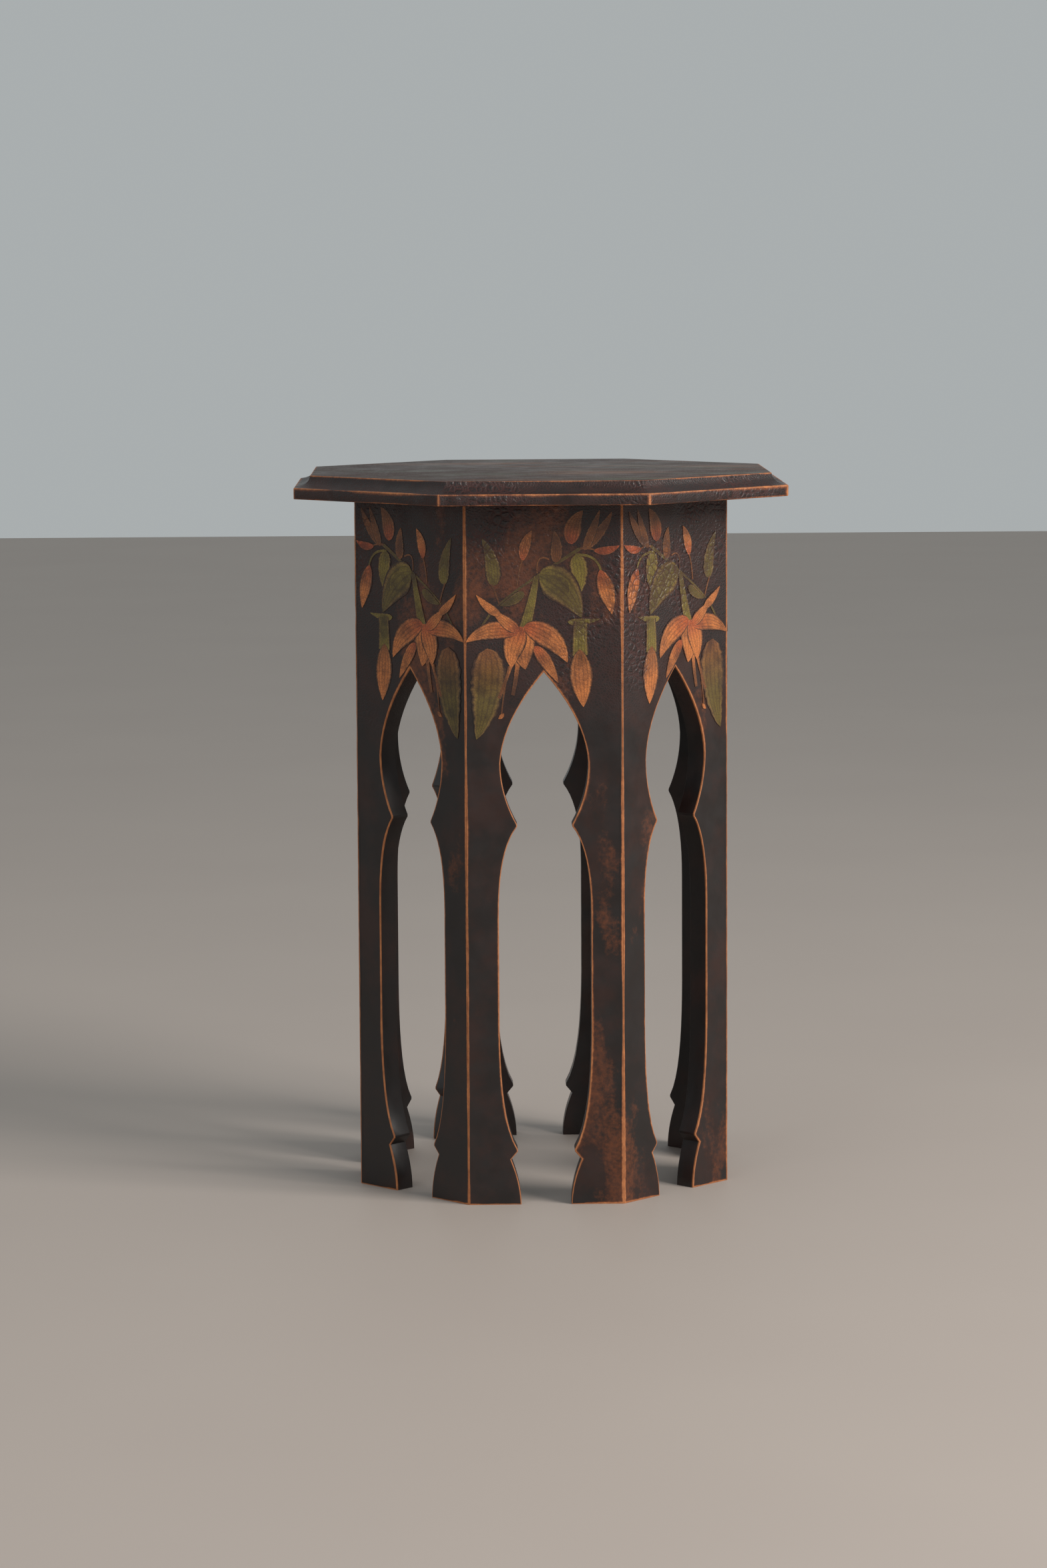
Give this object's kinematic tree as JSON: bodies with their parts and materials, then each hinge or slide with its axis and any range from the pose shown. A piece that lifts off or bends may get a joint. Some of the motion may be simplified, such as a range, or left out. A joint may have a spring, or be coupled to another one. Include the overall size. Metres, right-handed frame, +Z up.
{
  "type": "side table",
  "caption": "Octagonal side table with a cove-moulded top on a base of mitred panels, each pierced by a cusped arch that is open at the floor.",
  "frame": {"origin": "centre of the base on the floor, under the middle of the top", "axes": "+Z up along the table's axis; -Y is the outward normal of the first panel"},
  "size_m": [0.33, 0.33, 0.483],
  "materials": {
    "dark_lacquer": "satin dark brown-black lacquer over wood, crackled, worn to bare wood on its edges",
    "bare_wood": "unfinished aged softwood",
    "steel": "dull, slightly rusted steel"
  },
  "bodies": {
    "root": {"top_board": "dark_lacquer", "side_panel_1": "dark_lacquer", "corner_block_1": "bare_wood", "rubbed_block_1": "bare_wood", "top_screw_1": "steel", "side_panel_2": "dark_lacquer", "corner_block_2": "bare_wood", "rubbed_block_2": "bare_wood", "top_screw_2": "steel", "side_panel_3": "dark_lacquer", "corner_block_3": "bare_wood", "rubbed_block_3": "bare_wood", "top_screw_3": "steel", "side_panel_4": "dark_lacquer", "corner_block_4": "bare_wood", "rubbed_block_4": "bare_wood", "top_screw_4": "steel", "side_panel_5": "dark_lacquer", "corner_block_5": "bare_wood", "rubbed_block_5": "bare_wood", "top_screw_5": "steel", "side_panel_6": "dark_lacquer", "corner_block_6": "bare_wood", "rubbed_block_6": "bare_wood", "top_screw_6": "steel", "side_panel_7": "dark_lacquer", "corner_block_7": "bare_wood", "rubbed_block_7": "bare_wood", "top_screw_7": "steel", "side_panel_8": "dark_lacquer", "corner_block_8": "bare_wood", "rubbed_block_8": "bare_wood", "top_screw_8": "steel"}
  },
  "joints": []
}
